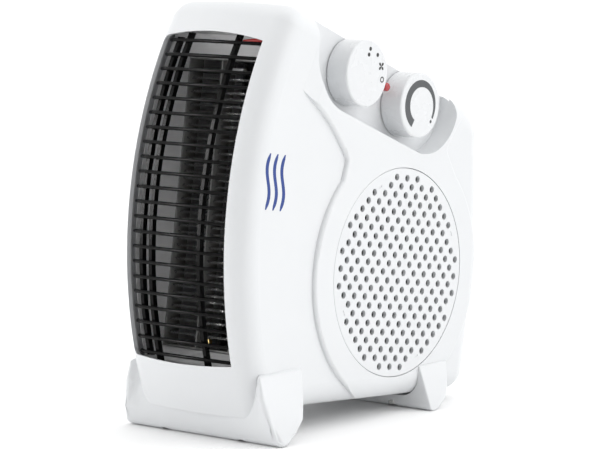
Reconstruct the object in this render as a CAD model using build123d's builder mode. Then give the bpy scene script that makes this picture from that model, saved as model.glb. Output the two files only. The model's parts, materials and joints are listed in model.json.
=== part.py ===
from build123d import *
import os
from math import cos, hypot, radians, sin, sqrt

os.makedirs("parts", exist_ok=True)

# Upright fan heater: tilted flat housing on two wedge feet, warm air out of the front (-Y), air drawn in
# through the round grille on the +X side, where the two knobs are. Millimetres, +Z up, on z = 0.

# ---------------------------------------------------------------- driving dimensions
TILT = radians(8.7)          # the housing leans back by this angle
DISC_Y = 25.7                # centre of the intake grille and of the fan, along Y
DISC_Z = 86.35               # height of that centre above the ground

HALF_T = 47.5                # half of the housing's thickness, X
PAD_X = 50.0                 # raised field round the intake grille and the knobs
PARTING_X = -15.0            # plane where the two shells meet
WALL = 2.5                   # shell wall
CLEAR = 0.1                  # gap between parts that lie against each other

FRONT_R = 255.0              # radius of the bulging front, seen from the side
FRONT_U = -148.5             # foremost point of the front
FRONT_V = 32.0               # height of that point above the fan centre
BOW_R = 205.0                # radius of the front's slight bow, seen from above
RIM_R = 14.0                 # rounding of the rim all round each side, and of the front's top and bottom edges

OPEN_X = (-42.0, 34.0)       # outlet opening across the front
OPEN_V = (-60.4, 125.2)      # outlet opening up the front, at its sides
OPEN_CROWN_V = (-62.6, 129.2)    # and at its middle, where its edges bulge out
OPEN_CORNER_R = 5.0          # its two far corners

DISC_R = 62.5                # intake grille
HOLE_R = 2.1
HOLE_PITCH = 10.27           # along a row; alternate rows are shifted by half of it
ROW_PITCH = 5.135
HOLE_FIELD_R = 58.4
PAD_CIRCLE_R = 79.4

KNOB_R = 19.66
KNOB_X = (36.8, 51.3)
SELECTOR = (-50.5, 114.6)    # knob centres, in the housing's own frame (back, up)
THERMOSTAT = (4.2, 100.6)
RECESS_ENDS = ((-62.0, 121.0), (14.0, 103.0))
RECESS_R = 31.0
RECESS_X = 36.0              # floor of the knob recess

WIRE_R = 1.05
WIRE_COUNT = 22
WIRE_PITCH = 8.66
FIRST_WIRE_V = -58.5
WIRE_DEPTH = 3.9             # from the front surface to a wire's centre line
RIB_X = (-24.8, 12.5)

SHAFT_R = 3.0
RUNNING = 0.05               # radial clearance of everything that turns in a bearing
FOOT_HALF = 59.0


# ---------------------------------------------------------------- planes of the housing's own frame
def at(x, u, v):
    """Point x across, u back and v up from the fan centre, along the leaning housing."""
    return (x, DISC_Y + u * cos(TILT) + v * sin(TILT), DISC_Z - u * sin(TILT) + v * cos(TILT))


def side(x):
    """Plane across X; sketches on it use (u, v) and rise towards +X."""
    return Plane(origin=at(x, 0, 0), x_dir=(0, cos(TILT), -sin(TILT)), z_dir=(1, 0, 0))


def front(u):
    """Plane facing forward; sketches on it use (x, v)."""
    return Plane(origin=at(0, u, 0), x_dir=(1, 0, 0), z_dir=(0, -cos(TILT), sin(TILT)))


def level(v):
    """Plane facing up the housing; sketches on it use (x, u)."""
    return Plane(origin=at(0, 0, v), x_dir=(1, 0, 0), z_dir=(0, sin(TILT), cos(TILT)))


def finish(piece, name):
    """Label a finished piece and write it as its own file."""
    piece.part.label = name
    export_step(piece.part, f"parts/{name}.step")


def front_u(v, depth=0.0):
    """Where the front surface is at height v, or the surface that lies depth behind it."""
    return FRONT_U + FRONT_R - sqrt((FRONT_R - depth) ** 2 - (v - FRONT_V) ** 2)


def bow(x):
    """How far the bowed front falls back at x."""
    return BOW_R - sqrt(BOW_R ** 2 - x ** 2)


# ---------------------------------------------------------------- housing blank
FRONT_GUARD = 6.0            # the side outline starts this far in front of the bowed front
BOTTOM_FRONT_V = -90.5
TOP_FRONT_V = 150.2
BOTTOM_FRONT = (front_u(BOTTOM_FRONT_V) - FRONT_GUARD, BOTTOM_FRONT_V - 0.3)
TOP_FRONT = (front_u(TOP_FRONT_V) - FRONT_GUARD, TOP_FRONT_V + 1.5)
BOTTOM_MID = (-62.0, -81.4)
TOP_REAR = (75.0, 101.7)
REAR_MID = (87.6, 0.0)
BOTTOM_REAR = (85.5, -69.9)
OUTLINE_ROUNDING = ((TOP_REAR, 22.0), (BOTTOM_REAR, 14.0), (BOTTOM_MID, 60.0))
FAR_FORWARD = 60.0           # the outline reaches this far in front, where the bowed front cuts it


def housing_blank(x_far, x_near, inset):
    """Solid of the housing's outer form, with every face moved in by inset."""
    apex = FRONT_U + inset
    axis_u = FRONT_U + FRONT_R
    with BuildPart() as blank:
        with BuildSketch(side(x_far + inset)) as outline:
            with BuildLine():
                Polyline(BOTTOM_MID, BOTTOM_FRONT, (FRONT_U - FAR_FORWARD, BOTTOM_FRONT[1]),
                         (FRONT_U - FAR_FORWARD, TOP_FRONT[1]), TOP_FRONT, TOP_REAR)
                ThreePointArc(TOP_REAR, REAR_MID, BOTTOM_REAR)
                Line(BOTTOM_REAR, BOTTOM_MID)
            make_face()
            for corner, radius in OUTLINE_ROUNDING:
                fillet(outline.vertices().sort_by_distance(corner)[0], radius)
            if inset:
                offset(amount=-inset)
        extrude(amount=x_near - x_far - 2 * inset)
        with BuildSketch(level(FRONT_V)):
            with BuildLine():
                far, near = x_far - 5.0, x_near + 5.0
                ThreePointArc((far, apex + bow(far)), (0, apex), (near, apex + bow(near)))
                Polyline((near, apex + bow(near)), (near, axis_u), (far, axis_u), (far, apex + bow(far)))
            make_face()
        revolve(axis=Axis(at(0, axis_u, FRONT_V), (1, 0, 0)), mode=Mode.INTERSECT)
        rims = blank.edges().group_by(Axis.X)
        crosswise = blank.edges().filter_by(GeomType.BSPLINE).group_by(SortBy.LENGTH)[0]
        fillet(rims[0] + rims[-1] + crosswise, RIM_R - inset)
    return blank.part


outer_blank = housing_blank(-HALF_T, HALF_T, 0)
inner_blank = housing_blank(-HALF_T, HALF_T, WALL)
fitted_blank = housing_blank(-HALF_T, HALF_T, -CLEAR)
wide_blank = housing_blank(-HALF_T, PAD_X, 0)

# ---------------------------------------------------------------- raised field on the +X side
PAD_EDGE_R = 2.0
PAD_PINCH = ((-58.6, 63.3), (38.4, 76.2))
PAD_FADE = ((-107.0, 92.0), (-93.0, 128.0))     # the field runs out to nothing along this line
PAD_FADE_RUN = 13.0             # and has its full height this far from it

with BuildPart() as pad_prism:
    with BuildSketch(side(HALF_T - 2 * WALL)) as pad_outline:
        Circle(PAD_CIRCLE_R)
        with BuildLine():
            Line((-150.0, 128.0), (-92.0, 92.5))
            ThreePointArc((-92.0, 92.5), (-73.0, 78.3), PAD_PINCH[0])
            Polyline(PAD_PINCH[0], (-61.0, 50.8), (-30.0, 20.0), (20.0, 20.0), (50.0, 61.7), PAD_PINCH[1])
            ThreePointArc(PAD_PINCH[1], (46.0, 89.0), (59.0, 104.0))
            Polyline((59.0, 104.0), (75.0, 150.0), (-150.0, 180.0), (-150.0, 128.0))
        make_face()
        fillet([pad_outline.vertices().sort_by_distance(pinch)[0] for pinch in PAD_PINCH], 4.0)
    extrude(amount=PAD_X - HALF_T + 2 * WALL)
    fillet(pad_prism.edges().group_by(Axis.X)[-1], PAD_EDGE_R)
    fade_start = Vector(*at(0, *PAD_FADE[0]))
    fade_way = Vector(*at(0, *PAD_FADE[1])) - fade_start
    with BuildSketch(Plane(fade_start, x_dir=(1, 0, 0), z_dir=fade_way)):
        with BuildLine():
            rise, root = PAD_X - HALF_T, HALF_T - 2 * WALL
            Polyline((root, 0), (HALF_T, 0), (PAD_X + rise, 2 * PAD_FADE_RUN),
                     (PAD_X + rise, -120.0), (root, -120.0), (root, 0))
        make_face()
    extrude(amount=120.0, both=True, mode=Mode.SUBTRACT)

with BuildPart() as raised_pad:
    add(wide_blank)
    add(pad_prism.part, mode=Mode.INTERSECT)


# ---------------------------------------------------------------- knob recess
def recess_prism(x_floor, grow, top_extra):
    """Slot with round ends that the knobs stand in; it runs out through the top of the housing."""
    with BuildPart() as prism:
        with BuildSketch(side(x_floor)) as slot:
            for rise in (0, top_extra):
                with Locations(*[(u, v + rise) for u, v in RECESS_ENDS]):
                    Circle(RECESS_R + grow)
            make_hull(slot.edges())
        extrude(amount=PAD_X + 10 - x_floor)
    return prism.part


RECESS_RISE = 60.0
recess_cut = recess_prism(RECESS_X, 0, RECESS_RISE)
recess_wall = recess_prism(RECESS_X - WALL, WALL, RECESS_RISE)

with BuildPart() as pocket:
    add(outer_blank)
    add(raised_pad.part)
    add(recess_wall, mode=Mode.INTERSECT)

# ---------------------------------------------------------------- screws that hold the shells together
HOUSING_SCREWS = ((-104.0, 133.0), (63.0, 85.0), (74.0, -58.0), (-108.0, -71.5))
BOSS_R = 4.2
SCREW_R = 1.8
SCREW_HEAD_R = 3.4
SCREW_HEAD_H = 2.2
SCREW_SEAT_X = -40.0
SCREW_TIP_X = -3.0

# ---------------------------------------------------------------- foot screws (upright, through each foot)
FOOT_Y = {"front": DISC_Y - 118.4, "rear": DISC_Y + 24.0}
FOOT_SCREW_X = 29.0
FOOT_SCREW_TOP = {"front": 27.0, "rear": 19.0}
FOOT_SCREW_SEAT = {"front": 9.0, "rear": 3.6}
FOOT_BOSS_TOP = {"front": 29.0, "rear": 21.0}

# ---------------------------------------------------------------- cord gland
GLAND_X = -27.0
GLAND_V = -45.0
GLAND_NECK_R = 5.5
GLAND_BORE_R = 3.4

BOSS_BITE = 1.2              # how far the bosses reach into the shell wall
trimming_blank = housing_blank(-HALF_T, HALF_T, BOSS_BITE)


def screw_bosses(x_low, x_high, radius, foot_x):
    """Bosses for the shell screws between two X planes, and for the two foot screws at foot_x."""
    with BuildPart() as bosses:
        with BuildSketch(side(x_low)):
            with Locations(*HOUSING_SCREWS):
                Circle(radius)
        extrude(amount=x_high - x_low)
        for end in ("front", "rear"):
            with BuildSketch(Plane.XY):
                with Locations((foot_x, FOOT_Y[end])):
                    Circle(BOSS_R)
            extrude(amount=FOOT_BOSS_TOP[end])
        add(trimming_blank, mode=Mode.INTERSECT)
    return bosses.part


OPEN_MID_X = (OPEN_X[0] + OPEN_X[1]) / 2
with BuildPart() as outlet_prism:
    with BuildSketch(front(-165)) as window:
        with BuildLine():
            ThreePointArc((OPEN_X[0], OPEN_V[0]), (OPEN_MID_X, OPEN_CROWN_V[0]), (OPEN_X[1], OPEN_V[0]))
            Line((OPEN_X[1], OPEN_V[0]), (OPEN_X[1], OPEN_V[1]))
            ThreePointArc((OPEN_X[1], OPEN_V[1]), (OPEN_MID_X, OPEN_CROWN_V[1]), (OPEN_X[0], OPEN_V[1]))
            Line((OPEN_X[0], OPEN_V[1]), (OPEN_X[0], OPEN_V[0]))
        make_face()
        fillet(window.vertices().group_by(Axis.X)[0], OPEN_CORNER_R)
    extrude(amount=-50)
outlet_cut = outlet_prism.part

# ---------------------------------------------------------------- far shell (the thin one)
with BuildPart() as far_shell:
    add(outer_blank)
    add(inner_blank, mode=Mode.SUBTRACT)
    # bosses for the screws, with a sunk seat for each shell screw's head
    add(screw_bosses(-HALF_T, PARTING_X, BOSS_R + 1.2, -FOOT_SCREW_X))
    split(bisect_by=Plane.YZ.offset(PARTING_X), keep=Keep.BOTTOM)
    with BuildSketch(side(-HALF_T - 1.0)):
        with Locations(*HOUSING_SCREWS):
            Circle(SCREW_HEAD_R + 0.4)
    extrude(amount=SCREW_SEAT_X + HALF_T + 1.0, mode=Mode.SUBTRACT)
    with BuildSketch(side(SCREW_SEAT_X)):
        with Locations(*HOUSING_SCREWS):
            Circle(SCREW_R + CLEAR)
    extrude(amount=PARTING_X - SCREW_SEAT_X, mode=Mode.SUBTRACT)
    for end in ("front", "rear"):
        with BuildSketch(Plane.XY):
            with Locations((-FOOT_SCREW_X, FOOT_Y[end])):
                Circle(SCREW_R)
        extrude(amount=FOOT_SCREW_TOP[end], mode=Mode.SUBTRACT)
    # outlet opening and the hole for the cord gland
    add(outlet_cut, mode=Mode.SUBTRACT)
    with BuildSketch(front(70)):
        with Locations((GLAND_X, GLAND_V)):
            Circle(GLAND_NECK_R + CLEAR)
    extrude(amount=-30, mode=Mode.SUBTRACT)
finish(far_shell, "far_shell")

# ---------------------------------------------------------------- near shell (deep one, with the knobs)
SEAT_X = 47.6                # the intake grille rests on a ledge here
PILOT = (-21.5, 109.0)
PILOT_R = 2.6
SPINDLE_HOLE_R = 4.2

with BuildPart() as near_shell:
    add(outer_blank)
    add(raised_pad.part)
    add(inner_blank, mode=Mode.SUBTRACT)
    # the wall keeps its thickness behind the raised field
    with BuildSketch(side(HALF_T - WALL - 1.0)):
        Circle(PAD_CIRCLE_R - 9.4)
    extrude(amount=PAD_X - HALF_T + 1.0, mode=Mode.SUBTRACT)
    add(pocket.part)
    # ledge that the intake grille rests on
    with BuildSketch(side(HALF_T - WALL)):
        Circle(DISC_R + 3.5)
        Circle(DISC_R - 3.0, mode=Mode.SUBTRACT)
    extrude(amount=SEAT_X - HALF_T + WALL)
    add(screw_bosses(PARTING_X, HALF_T, BOSS_R, FOOT_SCREW_X))
    split(bisect_by=Plane.YZ.offset(PARTING_X), keep=Keep.TOP)
    # screw holes
    for end in ("front", "rear"):
        with BuildSketch(Plane.XY):
            with Locations((FOOT_SCREW_X, FOOT_Y[end])):
                Circle(SCREW_R)
        extrude(amount=FOOT_SCREW_TOP[end], mode=Mode.SUBTRACT)
    with BuildSketch(side(PARTING_X)):
        with Locations(*HOUSING_SCREWS):
            Circle(SCREW_R)
    extrude(amount=SCREW_TIP_X - PARTING_X, mode=Mode.SUBTRACT)
    # knob recess, with holes for the spindles and the pilot lens
    add(recess_cut, mode=Mode.SUBTRACT)
    with BuildSketch(side(RECESS_X - 2 * WALL)):
        with Locations(SELECTOR, THERMOSTAT):
            Circle(SPINDLE_HOLE_R)
        with Locations(PILOT):
            Circle(PILOT_R + CLEAR)
    extrude(amount=3 * WALL, mode=Mode.SUBTRACT)
    # round opening for the intake grille, and the clear air passage through its ledge
    with BuildSketch(side(SEAT_X)):
        Circle(DISC_R + 0.3)
    extrude(amount=10, mode=Mode.SUBTRACT)
    with BuildSketch(side(SEAT_X - 5.0)):
        Circle(DISC_R - 3.0)
    extrude(amount=10, mode=Mode.SUBTRACT)
    # outlet opening
    add(outlet_cut, mode=Mode.SUBTRACT)
finish(near_shell, "near_shell")


# ---------------------------------------------------------------- intake grille (perforated disc with clips)
DISC_T = 2.2
CLIP_COUNT = 4
FIRST_CLIP_ANGLE = 27.5
CLIP_CLEAR = 5.4             # no hole comes nearer than this to a clip
CLIP_MARK_R = 56.0


def hole_lattice():
    """Centres of the staggered rows of holes that fit inside the round field."""
    centres = []
    rows = int(HOLE_FIELD_R / ROW_PITCH)
    columns = int(HOLE_FIELD_R / HOLE_PITCH) + 1
    for row in range(-rows, rows + 1):
        shift = 0.0 if row % 2 else 0.5
        for column in range(-columns - 1, columns + 1):
            u, v = (column + shift) * HOLE_PITCH, row * ROW_PITCH
            clips = [radians(FIRST_CLIP_ANGLE + 360.0 / CLIP_COUNT * clip) for clip in range(CLIP_COUNT)]
            gap = min(hypot(u - CLIP_MARK_R * cos(angle), v - CLIP_MARK_R * sin(angle)) for angle in clips)
            if hypot(u, v) <= HOLE_FIELD_R and gap > CLIP_CLEAR:
                centres.append((u, v))
    return centres


with BuildPart() as intake_grille:
    with BuildSketch(side(PAD_X - DISC_T)):
        Circle(DISC_R)
    extrude(amount=DISC_T)
    fillet(intake_grille.edges().group_by(Axis.X)[-1], 0.5)
    with BuildSketch(side(PAD_X - DISC_T)):
        with Locations(*hole_lattice()):
            Circle(HOLE_R)
    extrude(amount=DISC_T, mode=Mode.SUBTRACT)
    # four clips reach through the seat ring and hook behind it
    with BuildSketch(side(HALF_T - WALL - 2.2)):
        with PolarLocations(DISC_R - 4.4, CLIP_COUNT, start_angle=FIRST_CLIP_ANGLE):
            Rectangle(1.8, 5.0)
    extrude(amount=PAD_X - DISC_T - HALF_T + WALL + 2.2)
    with BuildSketch(side(HALF_T - WALL - 2.2)):
        with PolarLocations(DISC_R - 2.9, CLIP_COUNT, start_angle=FIRST_CLIP_ANGLE):
            Rectangle(2.4, 5.0)
    extrude(amount=2.0)
    # small dimples in the face in line with the clips
    with BuildSketch(side(PAD_X - 0.3)):
        with PolarLocations(CLIP_MARK_R, CLIP_COUNT, start_angle=FIRST_CLIP_ANGLE):
            SlotOverall(3.4, 1.2, rotation=90)
    extrude(amount=1.0, mode=Mode.SUBTRACT)
finish(intake_grille, "intake_grille")

# ---------------------------------------------------------------- outlet grille: wires and ribs
WIRE_NEAR_X = OPEN_X[1] + 1.8
WIRE_BEND_X = -31.0
WIRE_FAR = (-41.5, 8.0)      # where a wire ends behind the far edge, and how far it has bent back there

with BuildPart() as outlet_wires:
    for number in range(WIRE_COUNT):
        v = FIRST_WIRE_V + number * WIRE_PITCH
        centre_u = front_u(v, WIRE_DEPTH)
        near_end = (WIRE_NEAR_X, centre_u + bow(WIRE_NEAR_X))
        bend = (WIRE_BEND_X, centre_u + bow(WIRE_BEND_X))
        with BuildLine(level(v)) as path:
            straight = ThreePointArc(near_end, (0, centre_u), bend)
            TangentArc(bend, (WIRE_FAR[0], centre_u + WIRE_FAR[1]), tangent=straight % 1)
        with BuildSketch(Plane(origin=path.wire() @ 0, z_dir=path.wire() % 0)):
            Circle(WIRE_R)
        sweep(path=path.wire())
finish(outlet_wires, "outlet_wires")

RIB_W = 2.4
RIB_DEPTH = (WIRE_DEPTH + WIRE_R + 2 * CLEAR, WIRE_DEPTH + WIRE_R + 2 * CLEAR + 3.4)
TIE_X = RIB_X[0] - 8.6


def front_strip(depths, v_low, v_high):
    """Sketch of a strip that follows the front between two depths and two heights."""
    mid_v = (v_low + v_high) / 2
    with BuildSketch() as strip:
        with BuildLine():
            ThreePointArc((front_u(v_low, depths[0]), v_low), (front_u(mid_v, depths[0]), mid_v),
                          (front_u(v_high, depths[0]), v_high))
            Line((front_u(v_high, depths[0]), v_high), (front_u(v_high, depths[1]), v_high))
            ThreePointArc((front_u(v_high, depths[1]), v_high), (front_u(mid_v, depths[1]), mid_v),
                          (front_u(v_low, depths[1]), v_low))
            Line((front_u(v_low, depths[1]), v_low), (front_u(v_low, depths[0]), v_low))
        make_face()
    return strip.sketch


with BuildPart() as outlet_ribs:
    for x in RIB_X:
        depths = tuple(depth + bow(x) for depth in RIB_DEPTH)
        with BuildSketch(side(x - RIB_W / 2)):
            add(front_strip(depths, OPEN_V[0] - 4, OPEN_V[1] + 3))
        extrude(amount=RIB_W)
finish(outlet_ribs, "outlet_ribs")

with BuildPart() as grille_tie:
    depths = tuple(depth + bow(TIE_X) + 0.4 for depth in RIB_DEPTH)
    with BuildSketch(side(TIE_X - RIB_W / 2)):
        add(front_strip(depths, FIRST_WIRE_V - 2, FIRST_WIRE_V + (WIRE_COUNT - 1) * WIRE_PITCH + 2))
    extrude(amount=RIB_W)
finish(grille_tie, "grille_tie")

# ---------------------------------------------------------------- feet
FOOT_FRONT_SECTION = ((-133.5, 40.5), (-127.0, 12.0), (-121.4, 0.0), (-115.4, 0.0), (-97.5, 12.0), (-92.5, 26.0),
                      (-89.0, 40.5))
FOOT_REAR_SECTION = ((20.0, 27.0), (20.6, 8.0), (21.5, 0.0), (27.5, 0.0), (38.5, 6.0), (46.0, 20.0), (48.0, 27.0))
WING_TOP_X = {"front": 49.4, "rear": 51.0}
WING_LEAN_START = 1.0        # the end faces would meet the ground this far beyond the foot's ends
FOOT_WALL = 2.6
FOOT_POST_R = 6.2
FOOT_FLOOR = 1.0             # the screw posts start this far above the ground
FLARE_X = (44.5, 53.5)       # the wings of the front foot curl forward between these
FLARE_Y = (-126.3, -134.5)


def foot(section, top_z, end, housing):
    """Wedge foot: a V-shaped bar across X whose ends rise as wings beside the housing."""
    screw_spots = ((-FOOT_SCREW_X, FOOT_Y[end]), (FOOT_SCREW_X, FOOT_Y[end]))
    with BuildPart() as wedge:
        with BuildSketch(Plane.YZ.offset(-FOOT_HALF)) as outline:
            Polygon(*[(DISC_Y + y, z) for y, z in section], align=None)
            low = outline.vertices().group_by(Axis.Y)[0]
            waist = outline.vertices().group_by(Axis.Y)[1]
            fillet(low, 3.0)
            fillet(waist, 5.0)
        extrude(amount=2 * FOOT_HALF)
        # the end faces lean in towards the top
        for way in (-1, 1):
            with BuildSketch(Plane.XZ.offset(-DISC_Y - 150)):
                with BuildLine():
                    top_x = WING_TOP_X[end]
                    Polyline((way * (FOOT_HALF + WING_LEAN_START), 0), (way * top_x, top_z),
                             (way * top_x, top_z + 20), (way * 80, top_z + 20), (way * 80, 0), close=True)
                make_face()
            extrude(amount=350, mode=Mode.SUBTRACT)
        # between the wings the front foot stays behind the housing's chin
        if end == "front":
            with BuildSketch(Plane.XY):
                with BuildLine():
                    near_y, far_y = (DISC_Y + y for y in FLARE_Y)
                    Polyline((-FLARE_X[1], far_y), (-FLARE_X[0], near_y), (FLARE_X[0], near_y), (FLARE_X[1], far_y),
                             (FLARE_X[1], far_y - 20), (-FLARE_X[1], far_y - 20), close=True)
                make_face()
            extrude(amount=top_z + 10, mode=Mode.SUBTRACT)
        # hollow above, where the housing covers it
        with BuildSketch(Plane.YZ.offset(-HALF_T + 2 * FOOT_WALL)):
            Polygon(*[(DISC_Y + y, z) for y, z in section], align=None)
            offset(amount=-2 * FOOT_WALL)
        extrude(amount=2 * (HALF_T - 2 * FOOT_WALL), mode=Mode.SUBTRACT)
        with BuildSketch(Plane.XY.offset(FOOT_FLOOR)):
            with Locations(*screw_spots):
                Circle(FOOT_POST_R)
        extrude(amount=top_z - FOOT_FLOOR)
        add(housing, mode=Mode.SUBTRACT)
        # wells for the screw heads, from below
        with BuildSketch(Plane.XY):
            with Locations(*screw_spots):
                Circle(SCREW_HEAD_R + 0.2)
        extrude(amount=FOOT_SCREW_SEAT[end], mode=Mode.SUBTRACT)
        with BuildSketch(Plane.XY):
            with Locations(*screw_spots):
                Circle(SCREW_R + CLEAR)
        extrude(amount=top_z, mode=Mode.SUBTRACT)
    return wedge


front_foot = foot(FOOT_FRONT_SECTION, 40.5, "front", fitted_blank)
finish(front_foot, "front_foot")
rear_foot = foot(FOOT_REAR_SECTION, 27.0, "rear", housing_blank(-HALF_T, PAD_X, -CLEAR))
finish(rear_foot, "rear_foot")

# ---------------------------------------------------------------- screws
with BuildPart() as foot_screws:
    for end in ("front", "rear"):
        spots = ((-FOOT_SCREW_X, FOOT_Y[end]), (FOOT_SCREW_X, FOOT_Y[end]))
        with BuildSketch(Plane.XY.offset(FOOT_SCREW_SEAT[end] - SCREW_HEAD_H)):
            with Locations(*spots):
                Circle(SCREW_HEAD_R)
                RegularPolygon(0.9, 4, mode=Mode.SUBTRACT)
        extrude(amount=SCREW_HEAD_H)
        with BuildSketch(Plane.XY.offset(FOOT_SCREW_SEAT[end] - 0.6)):
            with Locations(*spots):
                Circle(SCREW_R)
        extrude(amount=FOOT_SCREW_TOP[end] - FOOT_SCREW_SEAT[end] - 0.4)
finish(foot_screws, "foot_screws")

with BuildPart() as housing_screws:
    with BuildSketch(side(SCREW_SEAT_X - SCREW_HEAD_H)):
        with Locations(*HOUSING_SCREWS):
            Circle(SCREW_HEAD_R)
            RegularPolygon(0.9, 4, mode=Mode.SUBTRACT)
    extrude(amount=SCREW_HEAD_H)
    with BuildSketch(side(SCREW_SEAT_X - 0.6)):
        with Locations(*HOUSING_SCREWS):
            Circle(SCREW_R)
    extrude(amount=SCREW_TIP_X - SCREW_SEAT_X - 0.4)
finish(housing_screws, "housing_screws")

# ---------------------------------------------------------------- cord gland, in the rear wall
GLAND_INNER_U = 78.0
GLAND_FLANGE_U = (88.0, 89.6)
GLAND_NOSE_U = 95.0

with BuildPart() as cord_gland:
    with BuildSketch(front(GLAND_INNER_U)):
        with Locations((GLAND_X, GLAND_V)):
            Circle(GLAND_NECK_R)
    extrude(amount=-(GLAND_NOSE_U - GLAND_INNER_U))
    with BuildSketch(front(GLAND_FLANGE_U[0])):
        with Locations((GLAND_X, GLAND_V)):
            Circle(GLAND_NECK_R + 2.4)
    extrude(amount=-(GLAND_FLANGE_U[1] - GLAND_FLANGE_U[0]))
    with BuildSketch(front(GLAND_INNER_U)):
        with Locations((GLAND_X, GLAND_V)):
            Circle(GLAND_NECK_R + 1.6)
    extrude(amount=-3.5)
    with BuildSketch(front(GLAND_INNER_U)):
        with Locations((GLAND_X, GLAND_V)):
            Circle(GLAND_BORE_R)
    extrude(amount=-(GLAND_NOSE_U - GLAND_INNER_U), mode=Mode.SUBTRACT)
finish(cord_gland, "cord_gland")

# ---------------------------------------------------------------- knobs and their spindles
SPINDLE_R = 3.0
SPINDLE_X = (22.0, 45.5)
KNOB_FACE_ROUND = 1.2
KNOB_SKIRT = 1.8             # wall of the hollow knob
KNOB_HUB_R = 5.2
KNOB_HOLLOW_X = 48.6


def knob(centre):
    """Round knob, hollow behind, with a hub that grips its spindle."""
    with BuildPart() as body:
        with BuildSketch(side(KNOB_X[0])):
            with Locations(centre):
                Circle(KNOB_R)
        extrude(amount=KNOB_X[1] - KNOB_X[0], taper=0.6)
        fillet(body.edges().group_by(Axis.X)[-1], KNOB_FACE_ROUND)
        with BuildSketch(side(KNOB_X[0])):
            with Locations(centre):
                Circle(KNOB_R - KNOB_SKIRT)
                Circle(KNOB_HUB_R, mode=Mode.SUBTRACT)
        extrude(amount=KNOB_HOLLOW_X - KNOB_X[0], mode=Mode.SUBTRACT)
        with BuildSketch(side(KNOB_X[0])):
            with Locations(centre):
                Circle(SPINDLE_R)
        extrude(amount=SPINDLE_X[1] - KNOB_X[0], mode=Mode.SUBTRACT)
    return body


def spindle(centre):
    """Round spindle that turns in its switch and carries the knob."""
    with BuildPart() as pin:
        with BuildSketch(side(SPINDLE_X[0])):
            with Locations(centre):
                Circle(SPINDLE_R)
        extrude(amount=SPINDLE_X[1] - SPINDLE_X[0])
    return pin


finish(knob(SELECTOR), "selector_knob")
finish(knob(THERMOSTAT), "thermostat_knob")
finish(spindle(SELECTOR), "selector_spindle")
finish(spindle(THERMOSTAT), "thermostat_spindle")

# ---------------------------------------------------------------- switch, thermostat and pilot lamp
CONTROL_TOP_X = RECESS_X - WALL - CLEAR
SWITCH_X = 14.0
SWITCH_R = 12.2

with BuildPart() as selector_switch:
    with BuildSketch(side(SWITCH_X)):
        with Locations(SELECTOR):
            Circle(SWITCH_R)
    extrude(amount=CONTROL_TOP_X - SWITCH_X)
    with BuildSketch(side(SPINDLE_X[0] - 0.3)):
        with Locations(SELECTOR):
            Circle(SPINDLE_R + RUNNING)
    extrude(amount=20, mode=Mode.SUBTRACT)
finish(selector_switch, "selector_switch")

with BuildPart() as switch_tabs:
    with BuildSketch(side(SWITCH_X - 8.0)):
        with Locations(SELECTOR):
            with PolarLocations(8.0, 5):
                Rectangle(0.8, 6.3)
    extrude(amount=8.0)
finish(switch_tabs, "switch_tabs")

with BuildPart() as thermostat_base:
    with BuildSketch(side(26.0)):
        with Locations(THERMOSTAT):
            RectangleRounded(22.0, 20.0, 2.0)
    extrude(amount=CONTROL_TOP_X - 26.0)
    with BuildSketch(side(26.0)):
        with Locations(THERMOSTAT):
            Circle(SPINDLE_R + RUNNING)
    extrude(amount=20, mode=Mode.SUBTRACT)
    with BuildSketch(side(12.0)):
        with Locations((THERMOSTAT[0] + 8.0, THERMOSTAT[1])):
            Rectangle(5.0, 8.0)
    extrude(amount=14.0)
finish(thermostat_base, "thermostat_base")

with BuildPart() as bimetal_strip:
    with BuildSketch(side(16.0)):
        with Locations((THERMOSTAT[0] - 4.5, THERMOSTAT[1])):
            Rectangle(20.0, 6.0)
    extrude(amount=1.0)
finish(bimetal_strip, "bimetal_strip")

with BuildPart() as contact_leaf:
    with BuildSketch(side(19.5)):
        with Locations((THERMOSTAT[0] - 3.5, THERMOSTAT[1])):
            Rectangle(18.0, 6.0)
    extrude(amount=0.5)
    with BuildSketch(side(18.2)):
        with Locations((THERMOSTAT[0] - 11.0, THERMOSTAT[1])):
            Circle(1.6)
    extrude(amount=1.3)
finish(contact_leaf, "contact_leaf")

with BuildPart() as pilot_lens:
    with BuildSketch(side(RECESS_X - WALL - 2.0)):
        with Locations(PILOT):
            Circle(PILOT_R)
    extrude(amount=45.5 - RECESS_X + WALL + 2.0)
    fillet(pilot_lens.edges().group_by(Axis.X)[-1], 1.2)
finish(pilot_lens, "pilot_lens")

with BuildPart() as neon_lamp:
    with BuildSketch(side(18.0)):
        with Locations(PILOT):
            Circle(2.2)
    extrude(amount=13.0)
finish(neon_lamp, "neon_lamp")

# ---------------------------------------------------------------- metal duct behind the outlet grille
DUCT_X = (-42.0, 32.9)
DUCT_SHEET = 0.6
DUCT_DEPTH = 13.2            # its front edge lies this far behind the front surface
DUCT_REAR_U = -88.0
DUCT_TOP = ((-126.0, 130.4), (-104.0, 116.5))
DUCT_BOTTOM = ((-126.0, -64.2), (-104.0, -56.0))


def duct_profile(grow, rear):
    """Side profile of the duct: it follows the front and narrows towards the heating element."""
    inset = DUCT_DEPTH + (0 if grow == 0 else -2.0)
    with BuildSketch() as profile:
        with BuildLine():
            top, top_mid = ((u, v + grow) for u, v in DUCT_TOP)
            low, low_mid = ((u, v - grow) for u, v in DUCT_BOTTOM)
            ThreePointArc((front_u(low[1], inset), low[1]), (front_u(FRONT_V, inset), FRONT_V),
                          (front_u(top[1], inset), top[1]))
            Polyline((front_u(top[1], inset), top[1]), top_mid, (rear, top_mid[1]), (rear, low_mid[1]), low_mid,
                     (front_u(low[1], inset), low[1]))
        make_face()
    return profile.sketch


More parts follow.
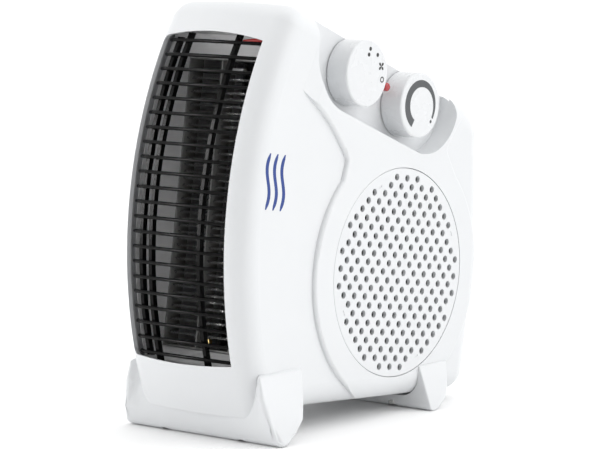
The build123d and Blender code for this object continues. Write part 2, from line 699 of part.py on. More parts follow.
with BuildPart() as duct_liner:
    with BuildSketch(side(DUCT_X[0])):
        add(duct_profile(0, DUCT_REAR_U))
    extrude(amount=DUCT_X[1] - DUCT_X[0])
    with BuildSketch(side(DUCT_X[0] + DUCT_SHEET)):
        add(duct_profile(-DUCT_SHEET, DUCT_REAR_U + 5))
    extrude(amount=DUCT_X[1] - DUCT_X[0] - 2 * DUCT_SHEET, mode=Mode.SUBTRACT)
finish(duct_liner, "duct_liner")

# ---------------------------------------------------------------- heating element
MICA_T = 0.9
ELEMENT_U = (-102.0, -90.0)
ELEMENT_V = (-55.0, 115.4)
ELEMENT_X = (DUCT_X[0] + DUCT_SHEET + CLEAR, DUCT_X[1] - DUCT_SHEET - CLEAR)
CARD_X = (-16.0, 9.0)
ELEMENT_ROWS = 40

with BuildPart() as mica_frame:
    centre = (sum(ELEMENT_X) / 2, sum(ELEMENT_V) / 2)
    width, height = ELEMENT_X[1] - ELEMENT_X[0], ELEMENT_V[1] - ELEMENT_V[0]
    with BuildSketch(front(ELEMENT_U[1])):
        with Locations(centre):
            Rectangle(width, height)
            Rectangle(width - 2 * MICA_T, height - 2 * MICA_T, mode=Mode.SUBTRACT)
    extrude(amount=ELEMENT_U[1] - ELEMENT_U[0])
finish(mica_frame, "mica_frame")

with BuildPart() as mica_cards:
    for x in CARD_X:
        with BuildSketch(front(ELEMENT_U[1])):
            with Locations((x, sum(ELEMENT_V) / 2)):
                Rectangle(MICA_T, ELEMENT_V[1] - ELEMENT_V[0] - 2 * MICA_T)
        extrude(amount=ELEMENT_U[1] - ELEMENT_U[0])
finish(mica_cards, "mica_cards")

bay_edges = (ELEMENT_X[0] + MICA_T, CARD_X[0], CARD_X[1], ELEMENT_X[1] - MICA_T)
row_pitch = (ELEMENT_V[1] - ELEMENT_V[0] - 12) / ELEMENT_ROWS

with BuildPart() as heating_ribbons:
    for bay in range(3):
        low_x = bay_edges[bay] + (0 if bay == 0 else MICA_T / 2) + 0.1
        high_x = bay_edges[bay + 1] - (0 if bay == 2 else MICA_T / 2) - 0.1
        with BuildSketch(front(ELEMENT_U[1] - 1.5)):
            for row in range(ELEMENT_ROWS):
                with Locations(((low_x + high_x) / 2, ELEMENT_V[0] + 6 + (row + 0.5) * row_pitch)):
                    Rectangle(high_x - low_x, 0.4)
        extrude(amount=8.0)
finish(heating_ribbons, "heating_ribbons")

with BuildPart() as element_eyelets:
    with BuildSketch(front(ELEMENT_U[0])):
        with Locations((-8.0, ELEMENT_V[0] + 5.0), (16.0, ELEMENT_V[0] + 5.0), (16.0, ELEMENT_V[1] - 5.0)):
            Circle(2.0)
            Circle(1.0, mode=Mode.SUBTRACT)
    extrude(amount=-3.0)
finish(element_eyelets, "element_eyelets")

with BuildPart() as thermal_cutout:
    with BuildSketch(level(ELEMENT_V[1] + 1.1 + DUCT_SHEET)):
        with Locations((18.0, -96.0)):
            Circle(5.0)
    extrude(amount=4.5)
finish(thermal_cutout, "thermal_cutout")

with BuildPart() as thermal_fuse:
    with BuildSketch(side(-6.0)):
        with Locations((-106.0, 108.0)):
            Circle(1.9)
    extrude(amount=11.0)
finish(thermal_fuse, "thermal_fuse")

LEAD_R = 1.3
with BuildPart() as red_lead:
    with BuildLine(front(-121.5)) as path:
        Line((15.2, 124.4), (30.6, 126.0))
    with BuildSketch(Plane(origin=path.wire() @ 0, z_dir=path.wire() % 0)):
        Circle(LEAD_R)
    sweep(path=path.wire())
finish(red_lead, "red_lead")

# ---------------------------------------------------------------- scroll round the fan
SCROLL_X = (-12.0, 33.0)
SCROLL_PLATE = 2.0
SCROLL_WALL = 1.6
TONGUE_ANGLE = -140.0
SCROLL_END = (DUCT_REAR_U + 1.0, ELEMENT_V[1] - 2.0)
SCROLL_LOW_END = (DUCT_REAR_U + 1.0, ELEMENT_V[0] + 1.0)


def scroll_point(angle):
    """Point on the spiral; the radius grows from the tongue over the rear to the top."""
    radius = 60.0 + 15.0 * (angle - TONGUE_ANGLE) / 240.0
    return (radius * cos(radians(angle)), radius * sin(radians(angle)))


SCROLL_POINTS = [scroll_point(TONGUE_ANGLE + step * 38.5) for step in range(7)]

with BuildPart() as scroll_wall:
    with BuildSketch(side(SCROLL_X[0] + SCROLL_PLATE)):
        with BuildLine():
            Spline(*SCROLL_POINTS, (-50.0, 94.0), SCROLL_END)
        trace(line_width=SCROLL_WALL)
        with BuildLine():
            Line(SCROLL_LOW_END, SCROLL_POINTS[0])
        trace(line_width=SCROLL_WALL)
    extrude(amount=SCROLL_X[1] - SCROLL_X[0] - 2 * SCROLL_PLATE)
finish(scroll_wall, "scroll_wall")


def scroll_plate(x, hole_r, screw_holes=()):
    """Plate that closes one side of the scroll, with a round hole on the fan's axis."""
    with BuildPart() as plate:
        with BuildSketch(side(x)):
            with BuildLine():
                Spline(*SCROLL_POINTS, (-50.0, 94.0), SCROLL_END)
                Line(SCROLL_END, SCROLL_LOW_END)
                Line(SCROLL_LOW_END, SCROLL_POINTS[0])
            make_face()
        extrude(amount=SCROLL_PLATE)
        with BuildSketch(side(x)):
            Circle(hole_r)
            for spot in screw_holes:
                with Locations(spot):
                    Circle(MOTOR_SCREW_R)
        extrude(amount=SCROLL_PLATE, mode=Mode.SUBTRACT)
    return plate


MOTOR_SCREW_U = 27.0
MOTOR_SCREW_R = 1.6
MOTOR_SCREWS = ((-MOTOR_SCREW_U, 0), (MOTOR_SCREW_U, 0))
finish(scroll_plate(SCROLL_X[0], 12.0, MOTOR_SCREWS), "scroll_back")
finish(scroll_plate(SCROLL_X[1] - SCROLL_PLATE, 46.0), "inlet_plate")

# ---------------------------------------------------------------- motor
STACK_X = (-38.0, -20.0)
ROTOR_R = 14.0
AIR_GAP = 0.4
BRACKET_T = 2.0
BUSH_R = 5.0

with BuildPart() as stator_stack:
    with BuildSketch(side(STACK_X[0])):
        with Locations((0, 9.0)):
            Rectangle(64.0, 64.0)
        with Locations((0, 30.0)):
            Rectangle(44.0, 10.0, mode=Mode.SUBTRACT)
        Circle(ROTOR_R + AIR_GAP, mode=Mode.SUBTRACT)
        with Locations(*MOTOR_SCREWS):
            Circle(2.1, mode=Mode.SUBTRACT)
    extrude(amount=STACK_X[1] - STACK_X[0])
finish(stator_stack, "stator_stack")

with BuildPart() as coil_bobbin:
    with BuildSketch(side(STACK_X[0] - 1.2)):
        with Locations((0, 30.0)):
            Rectangle(24.0, 9.6)
    extrude(amount=STACK_X[1] - STACK_X[0] + 2.4)
finish(coil_bobbin, "coil_bobbin")

with BuildPart() as motor_coil:
    for low_x, high_x in ((STACK_X[0] - 5.6, STACK_X[0] - 1.3), (STACK_X[1] + 1.3, STACK_X[1] + 5.6)):
        with BuildSketch(side(low_x)):
            with Locations((0, 31.0)):
                RectangleRounded(24.0, 16.0, 3.0)
        extrude(amount=high_x - low_x)
finish(motor_coil, "motor_coil")


def bearing_bracket(x_plate, x_stack):
    """Bridge over the rotor with a seat for its bush and two standoffs against the stack."""
    low, high = sorted((x_plate, x_plate + BRACKET_T))
    with BuildPart() as bridge:
        with BuildSketch(side(low)):
            SlotOverall(2 * MOTOR_SCREW_U + 12.0, 13.0)
        extrude(amount=BRACKET_T)
        post_low, post_high = sorted((x_stack, low if x_stack < low else high))
        with BuildSketch(side(post_low)):
            with Locations(*MOTOR_SCREWS):
                Circle(3.6)
        extrude(amount=post_high - post_low)
        with BuildSketch(side(-46)):
            Circle(BUSH_R)
            with Locations(*MOTOR_SCREWS):
                Circle(MOTOR_SCREW_R)
        extrude(amount=40, mode=Mode.SUBTRACT)
    return bridge


FRONT_BUSH_X = (-18.0, -12.4)
REAR_BUSH_X = (-44.0, -39.4)
REAR_BRACKET_X = -42.0
finish(bearing_bracket(SCROLL_X[0] - BRACKET_T, STACK_X[1]), "front_bracket")
finish(bearing_bracket(REAR_BRACKET_X, STACK_X[0]), "rear_bracket")

with BuildPart() as bearing_bushes:
    for low_x, high_x in (FRONT_BUSH_X, REAR_BUSH_X):
        with BuildSketch(side(low_x)):
            Circle(BUSH_R)
            Circle(SHAFT_R + RUNNING, mode=Mode.SUBTRACT)
        extrude(amount=high_x - low_x)
finish(bearing_bushes, "bearing_bushes")

with BuildPart() as motor_screws:
    with BuildSketch(side(-43.6)):
        with Locations(*MOTOR_SCREWS):
            Circle(3.0)
    extrude(amount=1.6)
    with BuildSketch(side(REAR_BRACKET_X)):
        with Locations(*MOTOR_SCREWS):
            Circle(MOTOR_SCREW_R)
    extrude(amount=SCROLL_X[0] + SCROLL_PLATE - REAR_BRACKET_X)
finish(motor_screws, "motor_screws")

with BuildPart() as rotor:
    with BuildSketch(side(STACK_X[0] - 0.2)):
        Circle(ROTOR_R)
        Circle(SHAFT_R, mode=Mode.SUBTRACT)
    extrude(amount=STACK_X[1] - STACK_X[0] + 0.4)
finish(rotor, "rotor")

SHAFT_X = (-43.8, 14.0)
with BuildPart() as motor_shaft:
    with BuildSketch(side(SHAFT_X[0])):
        Circle(SHAFT_R)
    extrude(amount=SHAFT_X[1] - SHAFT_X[0])
finish(motor_shaft, "motor_shaft")

# ---------------------------------------------------------------- fan wheel
WHEEL_X = (-7.5, 28.5)
WHEEL_R = 54.0
WHEEL_EYE_R = 33.0
WHEEL_PLATE = 1.8
BLADE_COUNT = 24
BLADE_T = 1.3

with BuildPart() as fan_wheel:
    with BuildSketch(side(WHEEL_X[0])):
        Circle(WHEEL_R)
    extrude(amount=WHEEL_PLATE)
    with BuildSketch(side(WHEEL_X[0] - 1.5)):
        Circle(9.0)
    extrude(amount=SHAFT_X[1] - 2.0 - WHEEL_X[0] + 1.5)
    with BuildSketch(side(WHEEL_X[0] + WHEEL_PLATE)):
        with PolarLocations((WHEEL_R + WHEEL_EYE_R) / 2, BLADE_COUNT):
            Rectangle(WHEEL_R - WHEEL_EYE_R - 1.0, BLADE_T, rotation=28)
    extrude(amount=WHEEL_X[1] - WHEEL_X[0] - 2 * WHEEL_PLATE)
    with BuildSketch(side(WHEEL_X[1] - WHEEL_PLATE)):
        Circle(WHEEL_R)
        Circle(WHEEL_R - 8.0, mode=Mode.SUBTRACT)
    extrude(amount=WHEEL_PLATE)
    with BuildSketch(side(WHEEL_X[0] - 2)):
        Circle(SHAFT_R)
    extrude(amount=40, mode=Mode.SUBTRACT)
finish(fan_wheel, "fan_wheel")

with BuildPart() as wheel_clip:
    with BuildSketch(side(SHAFT_X[1] - 2.0)):
        Circle(6.0)
        Circle(SHAFT_R, mode=Mode.SUBTRACT)
    extrude(amount=1.2)
finish(wheel_clip, "wheel_clip")

# ---------------------------------------------------------------- mains side: terminal block and cord clamp
with BuildPart() as terminal_block:
    with BuildSketch(side(-44.6)):
        with Locations((46.0, -56.0)):
            Rectangle(20.0, 12.0)
    extrude(amount=11.0)
    with BuildSketch(side(-38.0)):
        with Locations(*[(46.0 + step * 6.0, -56.0) for step in (-1, 0, 1)]):
            Circle(1.8)
    extrude(amount=6.0, mode=Mode.SUBTRACT)
finish(terminal_block, "terminal_block")

with BuildPart() as cord_clamp:
    with BuildSketch(front(66.0)):
        with Locations((GLAND_X - 3.0, GLAND_V)):
            Rectangle(28.0, 10.0)
        with Locations((GLAND_X, GLAND_V)):
            Circle(GLAND_BORE_R + 0.3, mode=Mode.SUBTRACT)
    extrude(amount=-5.0)
finish(cord_clamp, "cord_clamp")
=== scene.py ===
import json
import math

import bmesh
import bpy
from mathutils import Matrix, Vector


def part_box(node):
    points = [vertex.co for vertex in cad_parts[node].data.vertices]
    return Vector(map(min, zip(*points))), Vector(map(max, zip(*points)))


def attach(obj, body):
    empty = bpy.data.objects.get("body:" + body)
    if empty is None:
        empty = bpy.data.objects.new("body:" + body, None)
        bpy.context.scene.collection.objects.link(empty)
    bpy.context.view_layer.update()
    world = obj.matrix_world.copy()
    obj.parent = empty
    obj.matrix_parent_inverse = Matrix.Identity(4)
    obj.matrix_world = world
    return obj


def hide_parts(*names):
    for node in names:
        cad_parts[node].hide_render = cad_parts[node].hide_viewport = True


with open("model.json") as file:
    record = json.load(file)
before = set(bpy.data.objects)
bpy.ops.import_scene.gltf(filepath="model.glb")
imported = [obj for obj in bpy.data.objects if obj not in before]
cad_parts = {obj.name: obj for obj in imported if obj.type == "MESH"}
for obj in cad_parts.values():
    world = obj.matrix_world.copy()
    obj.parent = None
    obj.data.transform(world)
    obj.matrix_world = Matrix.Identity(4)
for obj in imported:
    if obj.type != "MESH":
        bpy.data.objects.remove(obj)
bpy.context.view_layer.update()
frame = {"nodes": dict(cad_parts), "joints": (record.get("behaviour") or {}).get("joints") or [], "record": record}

# ---------------------------------------------------------------- the housing's own frame
MM = 0.001
TILT = math.radians(8.7)          # the housing leans back by this angle
JOINTS = {joint["name"]: joint for joint in frame["joints"]}
FAN = Vector(JOINTS["fan_spin"]["pos_m"])
BACK = Vector((0, math.cos(TILT), -math.sin(TILT)))
UP = Vector((0, math.sin(TILT), math.cos(TILT)))


def at(x, u, v):
    """Point x across, u back and v up from the fan's centre, given in millimetres."""
    return Vector((x * MM, FAN.y, FAN.z)) + BACK * (u * MM) + UP * (v * MM)


def local(point):
    """(u, v) in millimetres of a point in the row frame."""
    away = Vector(point) - FAN
    return away.dot(BACK) / MM, away.dot(UP) / MM


# ---------------------------------------------------------------- materials
def nodes_of(material):
    material.use_nodes = True
    tree = material.node_tree
    return tree, tree.nodes["Principled BSDF"]


def coordinates(tree, stretch=(1, 1, 1), turn=(0, 0, 0)):
    """Object coordinates, stretched and turned, for the textures of one material."""
    source = tree.nodes.new("ShaderNodeTexCoord")
    mapping = tree.nodes.new("ShaderNodeMapping")
    mapping.inputs["Scale"].default_value = stretch
    mapping.inputs["Rotation"].default_value = turn
    tree.links.new(source.outputs["Object"], mapping.inputs["Vector"])
    return mapping.outputs["Vector"]


def noise(tree, vector, scale, detail=3.0, roughness=0.5):
    texture = tree.nodes.new("ShaderNodeTexNoise")
    texture.inputs["Scale"].default_value = scale
    texture.inputs["Detail"].default_value = detail
    texture.inputs["Roughness"].default_value = roughness
    tree.links.new(vector, texture.inputs["Vector"])
    return texture.outputs["Fac"]


def between(tree, factor, low, high):
    """The factor, moved from 0..1 to low..high."""
    scale = tree.nodes.new("ShaderNodeMapRange")
    scale.inputs["To Min"].default_value = low
    scale.inputs["To Max"].default_value = high
    tree.links.new(factor, scale.inputs["Value"])
    return scale.outputs["Result"]


def blend_colours(tree, factor, first, second):
    mix = tree.nodes.new("ShaderNodeMix")
    mix.data_type = "RGBA"
    mix.inputs["A"].default_value = (*first, 1)
    mix.inputs["B"].default_value = (*second, 1)
    tree.links.new(factor, mix.inputs["Factor"])
    return mix.outputs["Result"]


def surface(name, colours, roughness, grain, bump, metallic=0.0, coat=0.0, patch=60.0, stretch=(1, 1, 1),
            specular=0.5, transmission=0.0):
    """One finish: two colours mottled together, roughness that wanders in a range, and a fine bumpy grain."""
    material = bpy.data.materials.new(name)
    tree, shader = nodes_of(material)
    vector = coordinates(tree, stretch)
    cloud = noise(tree, vector, patch, 4.0, 0.55)
    fine = noise(tree, vector, grain, 2.0, 0.5)
    tree.links.new(blend_colours(tree, cloud, *colours), shader.inputs["Base Color"])
    tree.links.new(between(tree, cloud, *roughness), shader.inputs["Roughness"])
    relief = tree.nodes.new("ShaderNodeBump")
    relief.inputs["Strength"].default_value = bump
    relief.inputs["Distance"].default_value = RELIEF
    tree.links.new(fine, relief.inputs["Height"])
    tree.links.new(relief.outputs["Normal"], shader.inputs["Normal"])
    shader.inputs["Metallic"].default_value = metallic
    shader.inputs["Specular IOR Level"].default_value = specular
    shader.inputs["Coat Weight"].default_value = coat
    shader.inputs["Transmission Weight"].default_value = transmission
    return material


RELIEF = 0.0001                    # depth of every bumpy grain, in metres
WHITE = ((0.690, 0.703, 0.716), (0.712, 0.724, 0.736))
materials = {
    "white_shell": surface("white_shell", WHITE, (0.30, 0.42), 2600, 0.18, patch=35),
    "knob_white": surface("knob_white", WHITE, (0.22, 0.32), 3200, 0.10, patch=50),
    "black_wire": surface("black_wire", ((0.002, 0.002, 0.002), (0.005, 0.005, 0.005)),
                          (0.14, 0.24), 2200, 0.25, patch=140, specular=0.09),
    "red_lens": surface("red_lens", ((0.30, 0.003, 0.008), (0.40, 0.006, 0.012)),
                        (0.08, 0.16), 1500, 0.10, patch=200, coat=0.6),
    "red_sleeve": surface("red_sleeve", ((0.45, 0.02, 0.02), (0.62, 0.04, 0.035)),
                          (0.4, 0.55), 1800, 0.3, patch=250),
    "duct_sheet": surface("duct_sheet", ((0.80, 0.80, 0.805), (0.88, 0.88, 0.885)), (0.25, 0.40), 900, 0.35,
                          metallic=0.30, patch=60, stretch=(1, 1, 12)),
    "mica": surface("mica", ((0.16, 0.16, 0.158), (0.26, 0.26, 0.255)), (0.35, 0.6), 900, 0.5, patch=220),
    "ribbon": surface("ribbon", ((0.55, 0.55, 0.55), (0.80, 0.80, 0.80)),
                      (0.12, 0.32), 2400, 0.5, metallic=1.0, patch=300, stretch=(1, 8, 8)),
    "control_black": surface("control_black", ((0.012, 0.012, 0.013), (0.03, 0.03, 0.03)),
                             (0.4, 0.6), 1800, 0.3),
    "control_white": surface("control_white", ((0.62, 0.60, 0.54), (0.72, 0.70, 0.65)),
                             (0.35, 0.5), 1800, 0.2),
    "brass_tab": surface("brass_tab", ((0.55, 0.40, 0.16), (0.70, 0.53, 0.25)),
                         (0.2, 0.4), 2000, 0.3, metallic=1.0),
    "lamp_glass": surface("lamp_glass", ((0.85, 0.5, 0.4), (0.9, 0.6, 0.5)), (0.03, 0.08), 1200, 0.05,
                          transmission=0.8),
    "steel": surface("steel", ((0.42, 0.42, 0.43), (0.56, 0.56, 0.57)), (0.25, 0.45), 2000, 0.3, metallic=1.0,
                     stretch=(1, 1, 6)),
    "screw_steel": surface("screw_steel", ((0.55, 0.55, 0.54), (0.68, 0.68, 0.66)), (0.18, 0.32), 2400, 0.3,
                           metallic=1.0),
    "copper": surface("copper", ((0.50, 0.18, 0.07), (0.68, 0.30, 0.13)), (0.2, 0.4), 2600, 0.6, metallic=1.0,
                      stretch=(1, 1, 30)),
    "bronze": surface("bronze", ((0.35, 0.22, 0.10), (0.50, 0.34, 0.16)),
                      (0.3, 0.5), 2600, 0.4, metallic=1.0),
    "duct_plastic": surface("duct_plastic", ((0.020, 0.020, 0.021), (0.035, 0.035, 0.036)),
                            (0.4, 0.55), 2000, 0.3),
    "fan_plastic": surface("fan_plastic", ((0.015, 0.015, 0.016), (0.028, 0.028, 0.029)),
                           (0.35, 0.5), 2000, 0.3),
    "gland_rubber": surface("gland_rubber", ((0.012, 0.012, 0.012), (0.028, 0.028, 0.028)), (0.5, 0.7), 1800, 0.5),
}
blue_ink = surface("blue_ink", ((0.006, 0.035, 0.20), (0.010, 0.045, 0.25)), (0.30, 0.42), 2600, 0.2, patch=300)
grey_ink = surface("grey_ink", ((0.055, 0.060, 0.065), (0.080, 0.085, 0.090)), (0.30, 0.42), 2600, 0.2, patch=300)
dark_ink = surface("dark_ink", ((0.010, 0.010, 0.010), (0.022, 0.022, 0.022)), (0.30, 0.42), 2600, 0.2, patch=300)

for part in frame["record"]["subparts"]:
    node = frame["nodes"][part["node"]]
    node.data.materials.clear()
    node.data.materials.append(materials[part["material_slot"]])


# ---------------------------------------------------------------- helpers for new pieces
def piece(name, mesh, material, body):
    made = bpy.data.objects.new(name, mesh)
    bpy.context.scene.collection.objects.link(made)
    made.data.materials.append(material)
    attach(made, body)
    return made


def finished(form, name):
    """The mesh of a finished bmesh, with its faces turned outwards."""
    bmesh.ops.recalc_face_normals(form, faces=form.faces)
    mesh = bpy.data.meshes.new(name)
    form.to_mesh(mesh)
    form.free()
    return mesh


def smooth(obj, degrees):
    for polygon in obj.data.polygons:
        polygon.use_smooth = True
    obj.data.set_sharp_from_angle(angle=math.radians(degrees))


def flat_shapes(name, outlines, x_low, x_high, centre, material, body):
    """Thin prints on a face across X: outlines of (u, v) points round the centre, each with its hole."""
    form = bmesh.new()

    def ring(points, x):
        return [form.verts.new(at(x, centre[0] + u, centre[1] + v)) for u, v in points]

    for outline, hole in outlines:
        low, high = ring(outline, x_low), ring(outline, x_high)
        count = len(outline)
        for i in range(count):
            j = (i + 1) % count
            form.faces.new((low[i], low[j], high[j], high[i]))
        if hole:
            low_in, high_in = ring(hole, x_low), ring(hole, x_high)
            for i in range(count):
                j = (i + 1) % count
                form.faces.new((low_in[j], low_in[i], high_in[i], high_in[j]))
                form.faces.new((high[i], high[j], high_in[j], high_in[i]))
                form.faces.new((low[j], low[i], low_in[i], low_in[j]))
        else:
            form.faces.new(high)
            form.faces.new(low[::-1])
    return piece(name, finished(form, name), material, body)


def disc(u, v, radius, steps=24):
    return [(u + radius * math.cos(2 * math.pi * k / steps), v + radius * math.sin(2 * math.pi * k / steps))
            for k in range(steps)]


def on_ring(radius, degrees):
    return radius * math.cos(math.radians(degrees)), radius * math.sin(math.radians(degrees))


# ---------------------------------------------------------------- marks on the knobs
selector_centre = local(JOINTS["selector_turn"]["pos_m"])
thermostat_centre = local(JOINTS["thermostat_turn"]["pos_m"])
knob_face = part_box("selector_knob")[1].x / MM
PRINT = 0.06                       # how far a print stands out of its face

MARK_STEP = 32                     # degrees between the signs of neighbouring stops
OFF_ANGLE = -9
FAN_ANGLE, LOW_ANGLE, HIGH_ANGLE = (OFF_ANGLE + MARK_STEP * stop for stop in (1, 2, 3))
DOT_R = 1.2
BLADES = 4
FIRST_BLADE = 20
BLADE_SWEEP = 58
BLADE_STEPS = 8
BLADE_REACH = 2.8

marks = [(disc(*on_ring(14.5, HIGH_ANGLE), DOT_R), None), (disc(*on_ring(11.0, HIGH_ANGLE + 4), DOT_R), None),
         (disc(*on_ring(14.2, LOW_ANGLE), DOT_R), None),
         (disc(*on_ring(14.7, OFF_ANGLE), 1.8), disc(*on_ring(14.7, OFF_ANGLE), 1.1))]
fan_u, fan_v = on_ring(13.7, FAN_ANGLE)
for blade in range(BLADES):
    start = math.radians(360 / BLADES * blade + FIRST_BLADE)
    outline = [(fan_u, fan_v)]
    for step in range(BLADE_STEPS + 1):
        turn = start + math.radians(BLADE_SWEEP * step / BLADE_STEPS)
        reach = BLADE_REACH * math.sin(math.pi * (step + 1) / (BLADE_STEPS + 2)) ** 0.5
        outline.append((fan_u + reach * math.cos(turn), fan_v + reach * math.sin(turn)))
    marks.append((outline, None))
flat_shapes("selector_marks", marks, knob_face - PRINT, knob_face + PRINT, selector_centre, dark_ink, "selector")

CRESCENT_R = 15.2
CRESCENT_WIDTHS = ((-117, 5.0), (-180, 5.0), (-270, 4.3), (-345, 2.4), (-387.5, 1.5))      # (angle, width)
CRESCENT_START = CRESCENT_WIDTHS[0][0]
CRESCENT_SWEEP = CRESCENT_START - CRESCENT_WIDTHS[-1][0]
CRESCENT_STEPS = 60
crescent_out, crescent_in = [], []
for step in range(CRESCENT_STEPS + 1):
    angle = CRESCENT_START - CRESCENT_SWEEP * step / CRESCENT_STEPS
    for (a0, w0), (a1, w1) in zip(CRESCENT_WIDTHS, CRESCENT_WIDTHS[1:]):
        if a1 <= angle <= a0:
            width = w0 + (w1 - w0) * (a0 - angle) / (a0 - a1)
    crescent_out.append(on_ring(CRESCENT_R, angle))
    crescent_in.append(on_ring(CRESCENT_R - width, angle))
crescent = crescent_out + crescent_in[::-1]
flat_shapes("thermostat_marks", [(crescent, None), (disc(*on_ring(14.7, -36.7), 1.0), None)],
            knob_face - PRINT, knob_face + PRINT, thermostat_centre, grey_ink, "thermostat")

# ---------------------------------------------------------------- generic heat sign on the side panel
PANEL_X = 47.5
SIGN_CENTRE = (-121.0, 46.0)
SIGN_HEIGHT = 32
WAVE_PITCH = 6.6
WAVE_SWING = 1.9
WAVE_HALF_WIDTH = 1.35
WAVE_STEPS = 24
waves = []
for row in (-1, 0, 1):
    left, right = [], []
    for step in range(WAVE_STEPS + 1):
        v = -SIGN_HEIGHT / 2 + SIGN_HEIGHT * step / WAVE_STEPS
        u = WAVE_PITCH * row + WAVE_SWING * math.sin(2 * math.pi * (v + SIGN_HEIGHT / 2) / SIGN_HEIGHT)
        swell = WAVE_HALF_WIDTH * min(1.0, 0.35 + 2.2 * math.sin(math.pi * step / WAVE_STEPS))
        left.append((u - swell, v))
        right.append((u + swell, v))
    waves.append((left + right[::-1], None))
flat_shapes("heat_sign", waves, PANEL_X - PRINT, PANEL_X + PRINT, SIGN_CENTRE, blue_ink, "housing")


# ---------------------------------------------------------------- feet with rounded wings
def hull_of_housing(bulge_near):
    """Closed convex form of the housing: the far shell and its mirror image, whose side bulges out."""
    form = bmesh.new()
    for vertex in frame["nodes"]["far_shell"].data.vertices:
        for way in (1, -1):
            x = vertex.co.x * way
            form.verts.new((x + (bulge_near if x > 0 else 0), vertex.co.y, vertex.co.z))
    hull = bmesh.ops.convex_hull(form, input=form.verts)
    unused = hull["geom_interior"] + hull["geom_unused"]
    loose = {item for item in unused if isinstance(item, bmesh.types.BMVert)}
    bmesh.ops.delete(form, geom=list(loose), context="VERTS")
    mesh = bpy.data.meshes.new("housing_hull")
    form.to_mesh(mesh)
    form.free()
    cutter = bpy.data.objects.new("housing_hull", mesh)
    bpy.context.scene.collection.objects.link(cutter)
    return cutter


def applied(obj):
    """The object's modifiers become its mesh."""
    graph = bpy.context.evaluated_depsgraph_get()
    mesh = bpy.data.meshes.new_from_object(obj.evaluated_get(graph))
    obj.modifiers.clear()
    obj.data = mesh


def cut(obj, cutter):
    change = obj.modifiers.new("cut", "BOOLEAN")
    change.object = cutter
    change.operation = "DIFFERENCE"
    change.solver = "EXACT"
    applied(obj)


STATIONS = (-1, -0.93, -0.86, -0.79, -0.72, -0.4, 0, 0.4, 0.72, 0.79, 0.86, 0.93, 1)   # of the half width
WING_LEAN_START = 1                # the ends would meet the ground this far beyond the foot
FLARE_REACH_Y = -110               # only what is in front of this flares
FOOT_ROUNDING = 2.6
WELL_R = 3.6


def eased(share):
    """The share held to 0..1, leaving and arriving softly."""
    share = min(1.0, max(0.0, share))
    return share * share * (3 - 2 * share)


def rounded_foot(name, node, section, top_x, flare, bulge_near, screw_wells):
    """Wedge bar with leaning, rounded wings.

    section is (y, z) from the fan's centre line, and top_x the half width at its top. flare is (x_from, x_to,
    y_from, y_to): the front of the bar runs forward from y_from to y_to between them. screw_wells are (x, y, depth).
    """
    top_z = max(z for _, z in section)
    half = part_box(node)[1].x / MM
    foot_x = half + WING_LEAN_START
    form = bmesh.new()
    rings = []
    for station in STATIONS:
        ring = []
        for y, z in section:
            x = station * min(half, foot_x - (foot_x - top_x) * z / top_z)
            if flare and y < FLARE_REACH_Y:
                x_from, x_to, y_from, y_to = flare
                y = max(y, y_from + (y_to - y_from) * eased((abs(x) - x_from) / (x_to - x_from)))
            ring.append(form.verts.new((x * MM, FAN.y + y * MM, z * MM)))
        rings.append(ring)
    for first, second in zip(rings, rings[1:]):
        for i in range(len(section)):
            j = (i + 1) % len(section)
            form.faces.new((first[i], first[j], second[j], second[i]))
    form.faces.new(rings[0][::-1])
    form.faces.new(rings[-1])
    foot = piece(name, finished(form, name), materials["white_shell"], "housing")
    soften = foot.modifiers.new("soften", "BEVEL")
    soften.width = FOOT_ROUNDING * MM
    soften.segments = 5
    soften.limit_method = "ANGLE"
    soften.angle_limit = math.radians(25)
    applied(foot)
    hull = hull_of_housing(bulge_near)
    cut(foot, hull)
    bpy.data.objects.remove(hull)
    for x, y, depth in screw_wells:
        bpy.ops.mesh.primitive_cylinder_add(vertices=32, radius=WELL_R * MM, depth=2 * depth * MM,
                                            location=(x * MM, FAN.y + y * MM, 0))
        well = bpy.context.object
        cut(foot, well)
        bpy.data.objects.remove(well)
    smooth(foot, 40)
    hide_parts(node)


FRONT_SECTION = ((-133.9, 41.5), (-130.6, 28.0), (-127.0, 12.0), (-123.2, 3.0), (-121.0, 0.0), (-115.6, 0.0),
                 (-113.0, 1.4), (-105.5, 6.2), (-97.5, 12.5), (-92.6, 26.0), (-90.0, 41.5))
FRONT_FLARE = (44.5, 53.5, -126.3, -134.5)
REAR_SECTION = ((20.0, 27.0), (20.6, 8.0), (21.5, 1.5), (23.0, 0.0), (27.3, 0.0), (30.0, 0.9), (38.5, 6.0),
                (43.0, 13.0), (46.0, 20.0), (48.0, 27.0))
FIELD_RISE = 2.5                   # the raised field round the intake grille
SCREW_X = 29
rounded_foot("front_foot_moulding", "front_foot", FRONT_SECTION, 49.0, FRONT_FLARE, 0,
             ((-SCREW_X, -118.4, 6.8), (SCREW_X, -118.4, 6.8)))
rounded_foot("rear_foot_moulding", "rear_foot", REAR_SECTION, 51.0, None, FIELD_RISE * MM,
             ((-SCREW_X, 24.0, 1.4), (SCREW_X, 24.0, 1.4)))


# ---------------------------------------------------------------- crimped heating ribbons
RIBBON_U = (-99.5, -91.5)
RIBBON_V = (-49.0, 109.4)
RIBBON_ROWS = 40
RIBBON_BAYS = ((-40.3, -16.55), (-15.45, 8.45), (9.55, 31.2))      # across, between the mica cards
HALF_RIBBON = 0.1                  # half of the strip's thickness
CRIMP_STEP = 1.05                  # from a crest to the next trough
CRIMP = 0.62                       # height of a crest over the row's middle


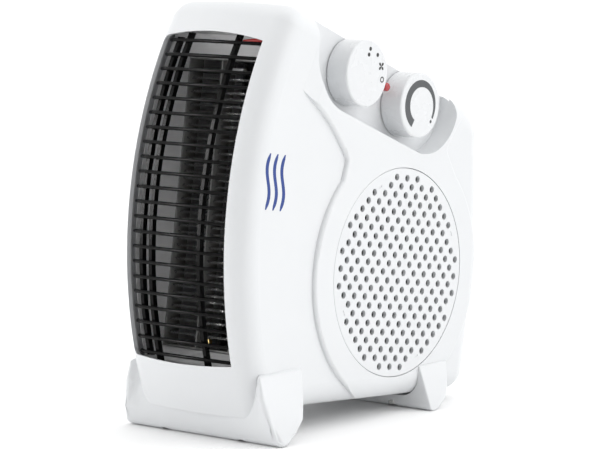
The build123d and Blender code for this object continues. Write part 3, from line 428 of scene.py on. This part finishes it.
def crimped_ribbons(name, node):
    """Zigzag strips between the mica cards, one for each plain strip of the CAD node."""
    form = bmesh.new()
    row_pitch = (RIBBON_V[1] - RIBBON_V[0]) / RIBBON_ROWS
    section = ((RIBBON_U[0], -HALF_RIBBON), (RIBBON_U[0], HALF_RIBBON), (RIBBON_U[1], HALF_RIBBON),
               (RIBBON_U[1], -HALF_RIBBON))
    for row in range(RIBBON_ROWS):
        for x_low, x_high in RIBBON_BAYS:
            count = round((x_high - x_low) / CRIMP_STEP)
            previous = None
            for step in range(count + 1):
                x = x_low + (x_high - x_low) * step / count
                v = RIBBON_V[0] + (row + 0.5) * row_pitch + (CRIMP if (step + row) % 2 else -CRIMP)
                ring = [form.verts.new(at(x, u, v + lift)) for u, lift in section]
                if previous:
                    for i in range(4):
                        j = (i + 1) % 4
                        form.faces.new((previous[i], previous[j], ring[j], ring[i]))
                else:
                    form.faces.new(ring[::-1])
                previous = ring
            form.faces.new(previous)
    made = piece(name, finished(form, name), materials["ribbon"], "housing")
    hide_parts(node)


crimped_ribbons("crimped_ribbons", "heating_ribbons")


# ---------------------------------------------------------------- camera, floor and light
AZIMUTH = math.radians(38.87)
ELEVATION = math.radians(7.21)
DISTANCE = 1.7408
TARGET = Vector((0, FAN.y - 0.03158, 0.11439))
towards = Vector((math.sin(AZIMUTH) * math.cos(ELEVATION), -math.cos(AZIMUTH) * math.cos(ELEVATION),
                  math.sin(ELEVATION)))
lens = bpy.data.cameras.new("camera")
lens.sensor_width = 36
lens.lens = 174.71
lens.clip_end = 200
camera = bpy.data.objects.new("camera", lens)
camera.location = TARGET + towards * DISTANCE
camera.rotation_euler = (-towards).to_track_quat("-Z", "Y").to_euler()
bpy.context.scene.collection.objects.link(camera)
bpy.context.scene.camera = camera

HALF_FLOOR = 40
FLOOR_CORNERS = ((-1, -1), (1, -1), (1, 1), (-1, 1))
FLOOR_DROP = 0.0002                # keeps the floor clear of the soles
floor_mesh = bpy.data.meshes.new("floor")
floor_mesh.from_pydata([(x * HALF_FLOOR, y * HALF_FLOOR, 0) for x, y in FLOOR_CORNERS], [], [(0, 1, 2, 3)])
floor = bpy.data.objects.new("floor", floor_mesh)
floor.location.z = -FLOOR_DROP
floor_mesh.materials.append(surface("floor", ((0.95, 0.95, 0.95), (0.96, 0.96, 0.96)), (0.7, 0.8), 40, 0.02,
                                    patch=2, specular=0.0))
bpy.context.scene.collection.objects.link(floor)

DARK_SIDE = (0.35, -0.93, 0.05)    # the surroundings grow darker towards this direction
SURROUNDINGS = (1.12, 0.36)        # strength away from it and towards it
world = bpy.data.worlds.new("studio")
bpy.context.scene.world = world
world.use_nodes = True
sky = world.node_tree
around = sky.nodes.new("ShaderNodeTexCoord")
facing = sky.nodes.new("ShaderNodeVectorMath")
facing.operation = "DOT_PRODUCT"
facing.inputs[1].default_value = DARK_SIDE
sky.links.new(around.outputs["Generated"], facing.inputs[0])
shade = sky.nodes.new("ShaderNodeMapRange")
shade.interpolation_type = "SMOOTHSTEP"
shade.inputs["To Min"].default_value, shade.inputs["To Max"].default_value = SURROUNDINGS
sky.links.new(facing.outputs["Value"], shade.inputs["Value"])
sky.links.new(shade.outputs["Result"], sky.nodes["Background"].inputs["Strength"])
sky.nodes["Background"].inputs["Color"].default_value = (1, 1, 1, 1)
bpy.context.scene.view_settings.view_transform = "Standard"


def lamp(name, light, place, aim):
    made = bpy.data.objects.new(name, light)
    made.location = place
    made.rotation_euler = (Vector(aim) - Vector(place)).to_track_quat("-Z", "Y").to_euler()
    bpy.context.scene.collection.objects.link(made)


def softbox(name, place, aim, size, power):
    light = bpy.data.lights.new(name, "AREA")
    light.shape = "RECTANGLE"
    light.size, light.size_y = size
    light.energy = power
    lamp(name, light, place, aim)


def broad_light(name, place, aim, strength, spread):
    light = bpy.data.lights.new(name, "SUN")
    light.energy = strength
    light.angle = math.radians(spread)
    lamp(name, light, place, aim)


CENTRE = (0, 0, 0.12)
broad_light("key_right", (2.0, 0.9, 1.3), CENTRE, 0.85, 50)
broad_light("top", (0.1, 0.3, 2.0), CENTRE, 0.62, 60)
softbox("strip_left", (-1.15, -1.30, 0.50), CENTRE, (0.10, 0.9), 9)
